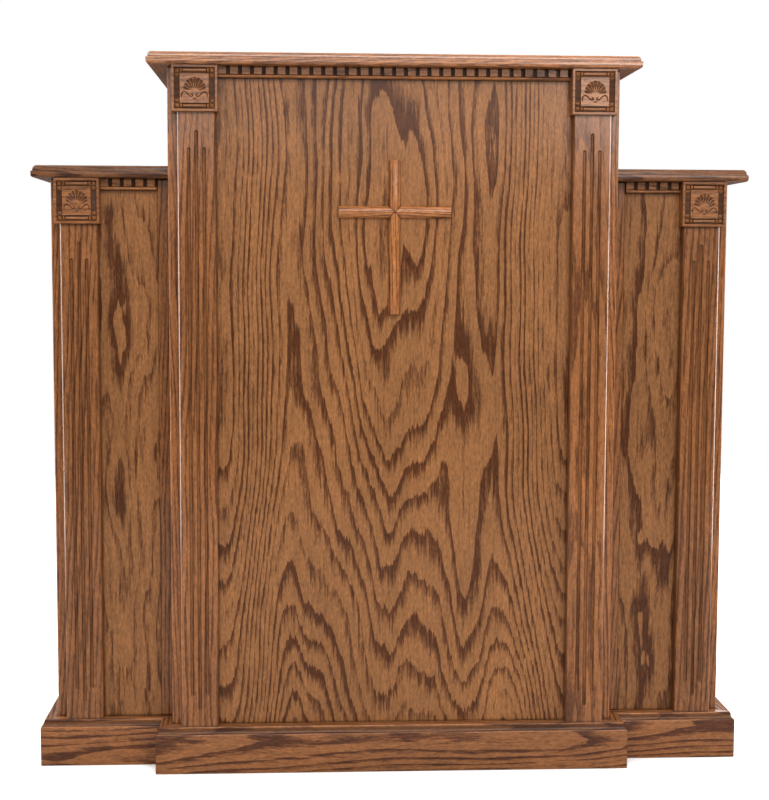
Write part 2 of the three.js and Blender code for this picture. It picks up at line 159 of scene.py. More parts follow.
def fray(g, point, reach):
    """Moves each fibre a little along the grain, which tears the edges of the dark bands into flames."""
    shift = g.centred(g.noise(point, (230, 230, 13), detail=3, roughness=0.68), reach)
    return g.vector("ADD", point, g.join(0, 0, shift))


def sawn_figure():
    """Solid board: the distance from a wandering pith, in rings."""
    g, given, out = new_group(
        "sawn_figure", {"point": "v", "pith": "v", "ring": "f", "taper": "f", "wander": "f"}, {"rings": "f"})
    point = fray(g, given["point"], 0.015)
    sway = g.noise(point, (3.5, 3.5, 1.4), detail=2, output="Color")
    sway = g.vector("SCALE", g.vector("SUBTRACT", sway, (0.5, 0.5, 0.5)), scale=given["wander"])
    x, y, z = g.split(g.vector("SUBTRACT", g.vector("ADD", point, sway), given["pith"]))
    radius = g.math("SQRT", g.math("ADD", g.math("MULTIPLY", x, x), g.math("MULTIPLY", y, y)))
    radius = g.math("MULTIPLY_ADD", z, given["taper"], radius)
    ripple = g.centred(g.noise(point, (40, 40, 5), detail=2), 0.5)
    g.plug(g.math("ADD", g.math("DIVIDE", radius, given["ring"]), ripple), out["rings"])
    return g.tree


LIP_RINGS = 210.0  # rings a metre through a veneered board's thickness: its solid lips' straight grain


def veneer_figure():
    """Plain-sliced veneer: straight at the sides of each leaf, with cathedrals and ovals down its middle."""
    g, given, out = new_group(
        "veneer_figure",
        {"point": "v", "leaf": "f", "side": "f", "along": "f", "eye": "f", "wild": "f"}, {"rings": "f"})
    point = fray(g, given["point"], 0.016)
    x, y, z = g.split(point)
    drift = g.centred(g.noise(point, (1.7, 1.7, 2.4), detail=1), 0.05)
    across = g.math("DIVIDE", g.math("ADD", x, drift), given["leaf"])
    wave = g.math("SUBTRACT", 1, g.math("COSINE", g.math("MULTIPLY", across, 2 * math.pi)))
    height = g.math("SUBTRACT", z, given["eye"])
    away = g.math("SQRT", g.math("MULTIPLY_ADD", height, height, 0.004))
    rings = g.math("MULTIPLY", wave, given["side"])
    rings = g.math("MULTIPLY_ADD", away, given["along"], rings)
    broad = g.math("ADD", g.noise(point, (10, 10, 2.6), detail=2, roughness=0.55), -0.5)
    rings = g.math("MULTIPLY_ADD", broad, given["wild"], rings)
    rings = g.math("MULTIPLY_ADD", y, LIP_RINGS, rings)
    ripple = g.centred(g.noise(point, (26, 26, 4.5), detail=3, roughness=0.6), 0.8)
    g.plug(g.math("ADD", rings, ripple), out["rings"])
    return g.tree


def centre_panel_figure():
    """The wide front panel: ovals round the cross, W and V bands under them, straight grain at the sides,
    and at the bottom arches on the left and U bands at both edges."""
    g, given, out = new_group("centre_panel_figure", {"point": "v"}, {"rings": "f"})
    point = fray(g, given["point"], 0.019)
    x, _, z = g.split(point)
    x = g.math("ADD", x, g.centred(g.noise(point, (2.0, 2.0, 2.6), detail=1), 0.022))
    left = g.math("MULTIPLY", x, -1)

    def rise(value, low, high, rings):
        return g.math("MULTIPLY", g.step(value, low, high), rings)

    def total(*terms):
        whole = terms[0]
        for term in terms[1:]:
            whole = g.math("ADD", whole, term)
        return whole

    def hump(middle, width):
        off = g.math("DIVIDE", g.math("ADD", x, -middle), width)
        return g.math("POWER", math.e, g.math("MULTIPLY", g.math("MULTIPLY", off, off), -1))

    # across: a hollow in the middle, ridges on both sides, hollows again at the edges
    across = total(rise(left, 0.015, 0.18, 10.0), rise(left, 0.175, 0.29, -11.0),
                   rise(x, 0.02, 0.17, 7.5), rise(x, 0.165, 0.30, -12.0))
    # along: quick in the middle and near the floor, slow elsewhere
    depth = g.math("SUBTRACT", 0.93, z)
    away = g.math("SQRT", g.math("MULTIPLY_ADD", depth, depth, 0.0036))
    crowding = g.math("MULTIPLY_ADD", g.step(depth, -0.05, 0.05), 5.5, 8.5)
    middle = g.math("SUBTRACT", 1, g.step(g.math("ABSOLUTE", x), 0.05, 0.16))
    below = g.math("ADD", depth, -0.38)
    rounded = g.math("SQRT", g.math("MULTIPLY_ADD", below, below, 0.01))
    below = g.math("MULTIPLY", g.math("ADD", below, rounded), 0.5)
    inner = g.math("MULTIPLY", g.math("MULTIPLY", away, crowding), middle)
    outer = g.math("MULTIPLY", g.math("MULTIPLY", below, 17.0), g.math("SUBTRACT", 1, middle))
    # low down a second hollow opens on the right of the middle, and a small ridge in it
    low = g.math("SUBTRACT", 1, g.step(z, 0.12, 0.80))
    second = g.math("MULTIPLY", g.math("MULTIPLY", hump(0.135, 0.06), low), -5.0)
    ridge = g.math("MULTIPLY", hump(0.022, 0.022), 0.7)
    # tongues in the loose middle, while the sides stay straight
    loose = g.math("MULTIPLY", g.step(x, -0.22, -0.15), g.math("SUBTRACT", 1, g.step(x, 0.10, 0.17)))
    tongues = g.centred(g.noise(point, (22, 22, 3.2), detail=2), 0.95)
    tongues = g.math("MULTIPLY", tongues, loose)
    broad = g.centred(g.noise(point, (7, 7, 2.4), detail=1), 1.7)
    ripple = g.centred(g.noise(point, (60, 60, 6), detail=1), 0.22)
    g.plug(total(across, inner, outer, second, ridge, tongues, broad, ripple), out["rings"])
    return g.tree


# ---------------------------------------------------------------- oak: surface

def oak_surface():
    """Stained, lacquered oak from a point in the wood and its ring count."""
    g, given, out = new_group(
        "oak_surface", {"point": "v", "rings": "f", "light": "c", "dark": "c"},
        {"color": "c", "roughness": "f", "height": "f"})
    point = given["point"]
    phase = g.math("FRACT", given["rings"])
    number = g.add("ShaderNodeTexWhiteNoise", noise_dimensions="1D")
    g.plug(g.math("FLOOR", given["rings"]), number.inputs["W"])
    strength = g.math("MULTIPLY_ADD", number.outputs["Value"], 0.6, 0.60)
    fall = g.step(phase, 0.02, 0.88)
    band = g.math("MULTIPLY", g.step(phase, 0.0, 0.08), g.math("SUBTRACT", 1, fall))
    clouds = g.noise(point, (9, 9, 2.4), detail=4, roughness=0.6)

    streaks = g.noise(point, (210, 210, 18), detail=4, roughness=0.75)
    torn = g.math("MULTIPLY_ADD", band, strength, g.centred(streaks, 1.0))
    torn = g.math("ADD", torn, g.centred(clouds, -0.3))
    dense = g.step(torn, 0.24, 0.98)
    pores = g.step(g.noise(point, (900, 900, 70), detail=2, roughness=0.6), 0.50, 0.66)

    flecks = g.noise(point, (330, 330, 110), detail=2, roughness=0.7)
    tone = g.math("MULTIPLY_ADD", streaks, -1.15, 1.58)
    tone = g.math("MULTIPLY", tone, g.math("MULTIPLY_ADD", flecks, -1.3, 1.65))
    tone = g.math("MULTIPLY", tone, g.math("MULTIPLY_ADD", clouds, 0.76, 0.64))
    pore_share = g.math("MULTIPLY_ADD", dense, 0.30, 0.26)
    tone = g.math("MULTIPLY", tone, g.math("SUBTRACT", 1, g.math("MULTIPLY", pores, pore_share)))
    color = g.mix(dense, given["light"], given["dark"])
    g.plug(g.vector("SCALE", color, scale=tone), out["color"])

    rough = g.math("MULTIPLY_ADD", dense, 0.08, 0.48)
    rough = g.math("MULTIPLY_ADD", pores, 0.12, rough)
    g.plug(g.math("MULTIPLY_ADD", clouds, 0.10, rough), out["roughness"])
    height = g.math("MULTIPLY_ADD", pores, -0.55, g.math("MULTIPLY", dense, -0.3))
    g.plug(g.math("MULTIPLY_ADD", streaks, 0.3, height), out["height"])
    return g.tree


SAWN_FIGURE = sawn_figure()
VENEER_FIGURE = veneer_figure()
CENTRE_FIGURE = centre_panel_figure()
OAK_SURFACE = oak_surface()

LIGHT_OAK = (0.215, 0.0885, 0.0300)
DARK_OAK = (0.070, 0.0200, 0.0042)
WARM = (1.0, 0.90, 0.82)  # solid oak takes the stain redder than veneer
# the colour of the painted shade laid into recesses, cuts and corners beside other parts
PAINTED_SHADE_COLOR = (0.020, 0.007, 0.003, 1)

# Turns from the row frame to the wood's own space, named by the grain's direction and the face that shows.
GRAIN_TURN = {
    "up": (0, 0, 0),
    "up_side": (0, 0, math.pi / 2),
    "across": (0, math.pi / 2, 0),
    "across_flat": (0, math.pi / 2, math.pi / 2),
    "deep": (math.pi / 2, 0, math.pi / 2),
}


def wood_point(g, node, grain, place):
    """Where the surface lies in the wood: the board's middle sits at place."""
    low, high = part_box(node)
    local = g.vector("SUBTRACT", g.add("ShaderNodeTexCoord").outputs["Object"], tuple((low + high) / 2))
    turn = g.add("ShaderNodeMapping", vector_type="POINT")
    g.plug(local, turn.inputs["Vector"])
    turn.inputs["Rotation"].default_value = GRAIN_TURN[grain]
    return g.vector("ADD", turn.outputs["Vector"], tuple(place))


def painted_shade_beside(g, neighbours):
    """Shade painted on a board round the pieces that stand on it, from 0 to 1: dark where their shade falls.
    """
    x, _, z = g.split(g.add("ShaderNodeTexCoord").outputs["Object"])
    painted_shade = 0.0
    for neighbour in neighbours:
        low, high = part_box(neighbour)
        middle, half = (low + high) / 2, (high - low) / 2
        off_x = g.math("SUBTRACT", g.math("ABSOLUTE", g.math("ADD", x, -middle.x)), half.x)
        off_z = g.math("SUBTRACT", g.math("ABSOLUTE", g.math("ADD", z, -middle.z)), half.z)
        near = g.math("SUBTRACT", 1, g.step(g.math("MAXIMUM", off_x, off_z), 0.0, 4 * MM))
        painted_shade = g.math("MAXIMUM", near, painted_shade)
    return g.math("MULTIPLY", painted_shade, 0.5)


def finish_oak(g, point, rings, tone, tint=(1, 1, 1), painted_shade=None, coat=0.22, soft=0.0):
    """Lacquered oak shader, with shade painted into its colour where its shade mask is high, in recesses and
    beside other parts; soft fades the grain's contrast.
    """
    light = [c * tone * t for c, t in zip(LIGHT_OAK, tint)]
    dark = [c * tone * t for c, t in zip(DARK_OAK, tint)]
    dark = [d + (l - d) * soft for d, l in zip(dark, light)]
    surface = g.group(OAK_SURFACE, point=point, rings=rings, light=(*light, 1), dark=(*dark, 1))
    color = surface["color"]
    # painted shade: the colour darkens where shade falls in recesses and beside other parts
    if painted_shade is not None:
        color = g.mix(painted_shade, color, PAINTED_SHADE_COLOR)
    bump = g.add("ShaderNodeBump")
    bump.inputs["Strength"].default_value = 0.3
    bump.inputs["Distance"].default_value = 0.0003
    g.plug(surface["height"], bump.inputs["Height"])
    shader = g.add("ShaderNodeBsdfPrincipled")
    g.plug(color, shader.inputs["Base Color"])
    g.plug(surface["roughness"], shader.inputs["Roughness"])
    g.plug(bump.outputs["Normal"], shader.inputs["Normal"])
    shader.inputs["Specular IOR Level"].default_value = 0.1
    # the coat thins where shade is painted, so that the painted shade stays dark
    if painted_shade is None:
        shader.inputs["Coat Weight"].default_value = coat
    else:
        g.plug(g.math("MULTIPLY_ADD", painted_shade, -0.9 * coat, coat), shader.inputs["Coat Weight"])
    shader.inputs["Coat Roughness"].default_value = 0.16
    g.plug(shader.outputs["BSDF"], g.add("ShaderNodeOutputMaterial").inputs["Surface"])
    return g.material


def board_random(node):
    """The same random numbers for the same board on every run."""
    return np.random.default_rng([ord(letter) for letter in node])


def sawn_oak(node, grain, tone=1.0, ring=4.2, pith=None, taper=0.03, soft=0.0, beside=None, coat=0.45):
    """Solid oak with rings that many mm apart, its pith so many mm across from and behind the board's middle.

    beside names the pieces that stand on a kept board, round which shade is painted; a detailed piece has its
    painted shade in a cavity attribute instead."""
    random = board_random(node)
    g = new_material(f"{node}_oak")
    place = Vector(random.uniform(-9, 9, 3))
    across, behind = pith or (random.uniform(-40, 40), random.uniform(45, 80))
    point = wood_point(g, node, grain, place)
    rings = g.group(
        SAWN_FIGURE, point=point, pith=tuple(place + Vector((across, behind, 0)) * MM),
        ring=ring * MM, taper=taper * random.choice((-1, 1)), wander=0.05)["rings"]
    # painted shade: from the piece's cavity attribute, or round the pieces beside the board, or none
    if beside is None:
        painted_shade = g.add("ShaderNodeAttribute", attribute_name="cavity").outputs["Fac"]
    else:
        painted_shade = painted_shade_beside(g, beside) if beside else None
    return finish_oak(g, point, rings, tone, WARM, painted_shade, coat, soft)


def veneer_oak(node, grain, tone=1.0, leaf=0.3, side=4.0, along=13.0, eye=0.0, wild=3.8, beside=()):
    """Veneered board in leaves that many metres wide.

    side and along are how quickly rings follow each other across a leaf and away from its ovals, whose
    middle is eye metres along the grain from the board's; wild is how far the rings stray."""
    g = new_material(f"{node}_oak")
    depth = board_random(node).uniform(-9, 9)
    point = wood_point(g, node, grain, (0, depth, 0))
    figure = g.group(VENEER_FIGURE, point=point, leaf=leaf, side=side, along=along, eye=eye, wild=wild)
    return finish_oak(g, point, figure["rings"], tone, painted_shade=painted_shade_beside(g, beside) if beside else None)


def centre_panel_oak(node, beside):
    """The wide front panel, its figure laid out in the pulpit's own x and z."""
    g = new_material(f"{node}_oak")
    low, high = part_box(node)
    point = wood_point(g, node, "up", (0, 0, (low.z + high.z) / 2))
    rings = g.group(CENTRE_FIGURE, point=point)["rings"]
    return finish_oak(g, point, rings, 1.0, painted_shade=painted_shade_beside(g, beside))


def zinc_steel():
    """Zinc-plated steel, brushed round and lightly blotched."""
    g = new_material("zinc_steel")
    place = g.add("ShaderNodeTexCoord").outputs["Object"]
    blotches = g.noise(place, (300, 300, 300), detail=3)
    scratches = g.noise(place, (3000, 900, 900), detail=2)
    shader = g.add("ShaderNodeBsdfPrincipled")
    g.plug(g.mix(blotches, (0.42, 0.41, 0.38, 1), (0.62, 0.61, 0.58, 1)), shader.inputs["Base Color"])
    shader.inputs["Metallic"].default_value = 1.0
    g.plug(g.math("MULTIPLY_ADD", scratches, 0.25, 0.22), shader.inputs["Roughness"])
    bump = g.add("ShaderNodeBump")
    bump.inputs["Strength"].default_value = 0.2
    bump.inputs["Distance"].default_value = 0.0001
    g.plug(scratches, bump.inputs["Height"])
    g.plug(bump.outputs["Normal"], shader.inputs["Normal"])
    g.plug(shader.outputs["BSDF"], g.add("ShaderNodeOutputMaterial").inputs["Surface"])
    return g.material


# ---------------------------------------------------------------- mesh helpers

def arc(centre, radius_x, radius_y, start, end, steps=8):
    """Points along an elliptical arc, from start to end degrees."""
    angles = np.radians(np.linspace(start, end, steps + 1))
    return [(centre[0] + radius_x * math.cos(a), centre[1] + radius_y * math.sin(a)) for a in angles]


def loft(bm, rings, capped=True):
    """Skins rings of points, all with the same count, and closes both ends."""
    rows = [[bm.verts.new(point) for point in ring] for ring in rings]
    for row, following in zip(rows, rows[1:]):
        for i, vertex in enumerate(row):
            j = (i + 1) % len(row)
            bm.faces.new((vertex, row[j], following[j], following[i]))
    if capped:
        bm.faces.new(reversed(rows[0]))
        bm.faces.new(rows[-1])
    return rows


def set_painted_shade_row(bm, row, amounts):
    """Sets how much painted shade each vertex of a row holds."""
    held = bm.verts.layers.float["cavity"]
    for vertex, amount in zip(row, amounts):
        vertex[held] = amount


def link_mesh(name, mesh):
    obj = bpy.data.objects.new(name, mesh)
    bpy.context.scene.collection.objects.link(obj)
    return obj


def mesh_object(name, shape):
    """A new object whose mesh is made by shape(bm)."""
    mesh = bpy.data.meshes.new(name)
    bm = bmesh.new()
    bm.verts.layers.float.new("cavity")
    shape(bm)
    bmesh.ops.remove_doubles(bm, verts=bm.verts, dist=1e-6)
    bmesh.ops.recalc_face_normals(bm, faces=bm.faces)
    bm.to_mesh(mesh)
    bm.free()
    return link_mesh(name, mesh)


def set_material(obj, material):
    obj.data.materials.clear()
    obj.data.materials.append(material)


def ease_edges(obj, width, segments=3, angle=40):
    """Rounds the sharp edges; flats stay flat in the light and curves stay smooth."""
    bevel = obj.modifiers.new("eased_edges", "BEVEL")
    bevel.width = width
    bevel.segments = segments
    bevel.limit_method = "ANGLE"
    bevel.angle_limit = math.radians(angle)
    bevel.miter_outer = "MITER_ARC"
    obj.modifiers.new("flat_faces", "WEIGHTED_NORMAL").keep_sharp = True


def stand_for(obj, node, material, smooth_below=35):
    """Puts a detailed piece in the place of a CAD node."""
    set_material(obj, material)
    obj.data.shade_smooth()
    obj.data.set_sharp_from_angle(angle=math.radians(smooth_below))
    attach(obj, "root")
    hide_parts(node)
    return obj


# ---------------------------------------------------------------- moulded edges

MOULDED = 28  # degrees: a moulding's sharper corners stay crisp
TOP_EDGE = {"nose": 5 * MM, "fillet_height": 11.4 * MM, "fillet": 2.6 * MM, "ovolo": 6.8 * MM}


def top_edge(thickness):
    """Moulded edge of a top as (inset, height) from its underside up: round nose, fillet, quarter round.

    The second list is the painted shade at each point, dark in the crease over the fillet."""
    nose = TOP_EDGE["nose"]
    fillet_z = TOP_EDGE["fillet_height"]
    ovolo = TOP_EDGE["ovolo"]
    soft = 1.2 * MM
    lip = 1 * MM
    inset = TOP_EDGE["fillet"]
    crease = 0.5 * MM
    points = arc((nose, nose), nose, nose, 270, 180, 10)
    points += arc((soft, fillet_z - soft), soft, soft, 180, 90, 4)
    first = len(points)
    points += arc((inset - crease, fillet_z + crease), crease, crease, 270, 360, 3)
    last = len(points)
    points += arc((inset + ovolo, fillet_z + lip), ovolo, thickness - fillet_z - lip, 180, 90, 14)
    return points, [0.75 if first <= i < last else 0.0 for i in range(len(points))]


def base_profile(height):
    """Base board as (out, height): upright face, small round, cove and the ledge's rounded edge.

    The second list is the painted shade at each point: in the cove, and against the panels."""
    proud = 27 * MM
    ledge = 20.9 * MM
    ease = 1.2 * MM
    bead = 2 * MM
    lip = 1.9 * MM
    points = [(GAP, 0)]
    points += arc((proud - ease, ease), ease, ease, 270, 360, 4)
    points += arc((proud - bead, height - 14 * MM), bead, bead, 0, 80, 6)
    first = len(points)
    points += arc((proud - 2 * MM, height - 3.2 * MM), 3.5 * MM, 8.4 * MM, 265, 182, 10)
    last = len(points)
    points += arc((ledge - lip, height - lip), lip, lip, 0, 90, 6)
    points += [(5 * MM, height), (GAP, height)]
    return points, [0.6 if first <= i < last else 0.0 for i in range(len(points) - 1)] + [0.7]


def moulding_runs(stretches, path, profile, painted_shade):
    """Runs a profile of (out, height) along a path in plan: one mitred (node, grain, oak) piece a stretch.

    Outwards is on the left of the way along."""
    ways = [b - a for a, b in zip(path, path[1:])]

    def lean(before, after):
        """+1 where the run turns an outside corner, -1 at an inside one."""
        return -math.copysign(1, before.x * after.y - before.y * after.x)

    for i, (node, grain, oak) in enumerate(stretches):
        way = ways[i].normalized()
        outward = Vector((-way.y, way.x))
        start_lean = -lean(ways[i - 1], ways[i]) if i else 0
        end_lean = lean(ways[i], ways[i + 1]) if i + 1 < len(ways) else 0
        ends = ((path[i] + way * GAP, start_lean), (path[i + 1] - way * GAP, end_lean))

        def shape(bm):
            rings = []
            for origin, slant in ends:
                places = [origin + outward * out + way * (slant * out) for out, _ in profile]
                rings.append([(p.x, p.y, z) for p, (_, z) in zip(places, profile)])
            # each profile point carries its painted shade
            for row in loft(bm, rings):
                set_painted_shade_row(bm, row, painted_shade)

        stand_for(mesh_object(f"{node}_moulding", shape), node, sawn_oak(node, grain, **oak), MOULDED)


def base_boards():
    """The base skirt, a board a stretch from the right wing's back corner round to the left wing's."""
    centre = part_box("centre_right_corner_stile")
    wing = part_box("right_wing_corner_stile")
    half, front = centre[1].x, centre[0].y
    outer, wing_front = wing[1].x, wing[0].y
    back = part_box("right_wing_outer_panel")[1].y
    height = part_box("centre_base_front")[1].z
    right = [(outer, back), (outer, wing_front), (half, wing_front), (half, front)]
    path = [Vector(p) for p in right + [(-x, y) for x, y in reversed(right)]]
    side_oak = {"tone": 0.95, "ring": 6}
    return_oak = {"tone": 0.9, "ring": 6}
    moulding_runs([
        ("right_wing_base_side", "deep", side_oak),
        ("right_wing_base_front", "across", {"ring": 8, "pith": (28, 34), "taper": 0.05}),
        ("centre_base_right_return", "deep", return_oak),
        ("centre_base_front", "across", {"tone": 0.95, "ring": 6.5, "pith": (18, 40), "taper": 0.035}),
        ("centre_base_left_return", "deep", return_oak),
        ("left_wing_base_front", "across", {"ring": 8, "pith": (-30, 30), "taper": 0.04}),
        ("left_wing_base_side", "deep", side_oak),
    ], path, *base_profile(height))


def top_rails():
    """The centre section's moulded top: three rails, mitred at the front corners."""
    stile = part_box("centre_right_corner_stile")
    low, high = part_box("top_front_rail")
    half, front = stile[1].x, stile[0].y
    overhang = front - low.y
    inner = front - high.y
    thickness = high.z - low.z
    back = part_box("top_right_rail")[1].y
    edge, painted_shade = top_edge(thickness)
    profile = [(inner, low.z)] + [(overhang - inset, low.z + up) for inset, up in edge] + [(inner, high.z)]
    path = [Vector(p) for p in ((half, back), (half, front), (-half, front), (-half, back))]
    side_oak = {"tone": 1.2, "ring": 4, "soft": 0.2}
    front_oak = {"tone": 1.45, "ring": 3.2, "pith": (60, 70), "soft": 0.25, "coat": 1.0}
    moulding_runs([
        ("top_right_rail", "deep", side_oak),
        ("top_front_rail", "across", front_oak),
        ("top_left_rail", "deep", side_oak),
    ], path, profile, [0.0, *painted_shade, 0.0])


def wing_top(name, side):
    """Flat top, moulded round its front, outer and back edges, its outer corners just softened."""
    node = f"{name}_wing_top"
    low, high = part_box(node)
    inner, outer = (low.x, high.x) if side > 0 else (high.x, low.x)
    corner = 2.2 * MM

    def plan(inset, height):
        x = outer - side * (inset + corner)
        front = low.y + inset
        back = high.y - inset
        points = [(inner, front)]
        for y, start in ((front + corner, 270), (back - corner, 360)):
            points += arc((x, y), side * corner, corner, start, start + 90, 5)
        points += [(inner, back)]
        return [(px, py, low.z + height) for px, py in points]

    edge, painted_shade = top_edge(high.z - low.z)

    def shape(bm):
        rows = loft(bm, [plan(inset, height) for inset, height in edge])
        # each row carries the painted shade of its profile point, dark in the crease
        for row, amount in zip(rows, painted_shade):
            set_painted_shade_row(bm, row, [amount] * len(row))

    material = sawn_oak(node, "across_flat", 0.62, ring=5, coat=0.35)
    stand_for(mesh_object(f"{node}_board", shape), node, material, MOULDED)


# ---------------------------------------------------------------- pilasters

FLUTE = {"radius": 3.1 * MM, "spacing": 12.8 * MM}
# how far the middle flute and the outer two stop short of the pilaster's bottom and its top
FLUTE_ENDS = {"middle": (30 * MM, 30 * MM), "outer": (54 * MM, 58 * MM)}


def round_ended_rod(bm, x, y, low, high, radius, sides=48):
    """An upright rod with round ends. low and high are its ends' centres."""
    turns = np.arange(sides) * (2 * math.pi / sides)
    rings = []
    for z, start, end in ((low, -84, 0), (high, 0, 84)):
        for tilt in np.radians(np.linspace(start, end, 9)):
            r = radius * math.cos(tilt)
            up = radius * math.sin(tilt)
            rings.append([(x + r * math.cos(t), y + r * math.sin(t), z + up) for t in turns])
    loft(bm, rings)


def carve(obj, cutter):
    """Cuts the cutter's shape out of obj for good."""
    cut = obj.modifiers.new("cut", "BOOLEAN")
    cut.operation = "DIFFERENCE"
    cut.solver = "EXACT"
    cut.object = cutter
    graph = bpy.context.evaluated_depsgraph_get()
    carved = bpy.data.meshes.new_from_object(obj.evaluated_get(graph))
    obj.modifiers.clear()
    obj.data = carved
    carved.attributes.remove(carved.attributes["cavity"])
    bpy.data.objects.remove(cutter)


def pilaster(node, material):
    """Upright board with bevelled long edges and three round-ended flutes, the middle one longest."""
    low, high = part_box(node)
    middle = (low.x + high.x) / 2
    half = (high.x - low.x) / 2
    edge = 1.8 * MM
    end_shade_fade = 5 * MM  # painted shade fades over this much at each end
    plain = 4 * MM  # no flute comes closer to the long edges

    def body(bm):
        outline = [(-half, high.y), (-half, low.y + edge), (-half + edge, low.y)]
        outline += [(half - edge, low.y), (half, low.y + edge), (half, high.y)]
        heights = (low.z, low.z + end_shade_fade, high.z - end_shade_fade, high.z)
        loft(bm, [[(middle + x, y, z) for x, y in outline] for z in heights])

    def flutes(bm):
        radius = FLUTE["radius"]
        for column in (-1, 0, 1):
            bottom, top = FLUTE_ENDS["outer" if column else "middle"]
            x = middle + column * FLUTE["spacing"]
            round_ended_rod(bm, x, low.y, low.z + bottom + radius, high.z - top - radius, radius)

    obj = mesh_object(f"{node}_fluted", body)
    carve(obj, mesh_object("flutes", flutes))
    held = obj.data.attributes.new("cavity", "FLOAT", "POINT")
    for vertex, painted_shade in zip(obj.data.vertices, held.data):
        x, y, z = vertex.co
        end = min(z - low.z, high.z - z) < 1 * MM
        fluted = abs(x - middle) < half - plain and low.y + 0.1 * MM < y < low.y + plain
        # painted shade: darker at the ends, where the pilaster meets the base and the block, and lightly in
        # the flutes
        painted_shade.value = 0.5 if end else 0.3 if fluted else 0.0
    stand_for(obj, node, material)
    ease_edges(obj, 0.3 * MM, segments=2, angle=50)


# ---------------------------------------------------------------- shell blocks

def smooth(low, high, value):
    """Smooth step from 0 at low to 1 at high."""
    t = np.clip((value - low) / (high - low), 0, 1)
    return t * t * (3 - 2 * t)


def stroke(x, z, points, width):
    """How far into a carved line each place is, from 0 outside to 1 on its middle.

    The line is a smooth curve through the points (a Catmull-Rom spline)."""
    spline = np.array(points, float)
    padded = np.vstack([2 * spline[0] - spline[1], spline, 2 * spline[-1] - spline[-2]])
    nearest = np.full(x.shape, 1e9)
    for a, b, c, d in zip(padded, padded[1:], padded[2:], padded[3:]):
        for t in np.linspace(0, 1, 12):
            square = (2 * a - 5 * b + 4 * c - d) * t**2
            cube = (3 * b - a - 3 * c + d) * t**3
            place = 0.5 * (2 * b + (c - a) * t + square + cube)
            nearest = np.minimum(nearest, np.hypot(x - place[0], z - place[1]))
    return np.clip(1 - (nearest / width) ** 2, 0, 1)


def shell_relief(x, z, half_width, half_height):
    """Height in front of the block's face, and how much painted shade lies there. All in mm, z up."""
    sunk = 3.4  # depth of the channel round the field
    lane = 9.2  # the channel's middle, in from the block's edges
    clear = -9  # below everything
    edge_x = half_width - np.abs(x)
    edge_z = half_height - np.abs(z)
    edge = np.minimum(edge_x, edge_z)
    channel = smooth(4.2, 5.0, edge) * (1 - smooth(13.2, 14.2, edge))
    height = -sunk * channel - 0.4 * smooth(13.7, 14.7, edge)
    # painted shade: dark in the channel and a little at the block's edges; the raised rods, posts and
    # pyramids below clear it
    painted_shade = 0.82 * channel + 0.12 * (1 - smooth(3.0, 4.4, edge))

    # rods in the top and bottom channels
    off_lane = edge_z - lane
    rod = np.sqrt(np.clip(1 - (off_lane / 2.8) ** 2, 0, 1)) * (1 - smooth(18.6, 19.4, np.abs(x)))
    height = np.maximum(height, np.where(rod > 0, -sunk + 2.9 * rod, clear))
    painted_shade = painted_shade * (1 - 0.8 * np.clip(rod * 1.4, 0, 1))
    # upright posts beside the rods
    off = np.maximum(np.abs(np.abs(x) - 22.0) / 2.6, np.abs(off_lane) / 4.7)
    post = np.clip(1 - off, 0, 1)
    height = np.maximum(height, np.where(post > 0, -sunk + 3.0 * np.minimum(post * 1.6, 1), clear))
    painted_shade = painted_shade * (1 - 0.7 * np.minimum(post * 2.2, 1))
    # a pyramid in each corner, and a smaller one next to it in each upright channel
    for centre, rise, half_tall in ((lane, 3.3, 4.3), (17.4, 2.9, 3.5)):
        off = np.maximum(np.abs(edge_x - lane) / 4.5, np.abs(edge_z - centre) / half_tall)
        point = np.clip(1 - off, 0, 1)
        height = np.maximum(height, np.where(point > 0, -sunk + rise * point, clear))
        painted_shade = painted_shade * (1 - 0.75 * np.minimum(point * 1.8, 1))
    # rope ripple along the floor of the upright channels
    upright = channel * (np.abs(edge_x - lane) < 4) * (edge_z > 21)
    height = height + upright * 0.3 * np.sin((z + np.abs(x)) * 2.6)

    # nine spooned lobes fanned up from a hinge
    hinge_x, hinge_z = 0.4, -5.6
    half_lobe = 9  # degrees
    reach = np.hypot(x - hinge_x, z - hinge_z)
    angle = np.degrees(np.arctan2(x - hinge_x, z - hinge_z))
    across = (np.mod(angle + half_lobe, 2 * half_lobe) - half_lobe) / half_lobe
    tip = 23.6 - 4.4 * (np.abs(angle) / 72) ** 1.3 - 0.9 * across**2
    width = 0.36 + 0.58 * smooth(6, 16, reach)
    lobe = np.clip(1 - (across / width) ** 2, 0, 1) * smooth(4, 11, reach)
    lobe = lobe * (1 - smooth(tip - 0.9, tip, reach)) * (np.abs(angle) < 80.5)
    # mirrored scrolls, a dash, and two filled nail holes
    scroll = [(-21.0, -14.6), (-20.6, -9.4), (-17.4, -6.6), (-13.2, -8.0), (-9.4, -11.6), (-6.2, -13.9),
              (-3.4, -13.2), (-3.0, -10.9), (-4.8, -10.4)]
    cuts = stroke(-np.abs(x), z, scroll, 1.05)
    cuts = np.maximum(cuts, stroke(x, z, [(-1.8, -17.2), (0.4, -17.5), (2.4, -17.1)], 0.9))
    nails = np.zeros(x.shape)
    for nail_x, nail_z in ((-17.4, 18.6), (15.0, -16.8)):
        nails = np.maximum(nails, 1 - smooth(0.7, 1.2, np.hypot(x - nail_x, z - nail_z)))
    height = height - 1.5 * lobe - 1.1 * cuts - 0.25 * nails
    # painted shade in the lobes and cuts; the nail holes' dark filler is their own colour, carried in the
    # same map
    for darkness in (0.7 * smooth(0.05, 0.8, lobe), 0.85 * cuts, 0.6 * nails):
        painted_shade = np.maximum(painted_shade, darkness)

    # eased outer edges
    for near, ease in ((edge_x, 1.2), (edge_z, 0.7)):
        inside = np.clip(1 - near / ease, 0, 1)
        height = height - ease * (1 - np.sqrt(1 - inside**2))
    return height, painted_shade


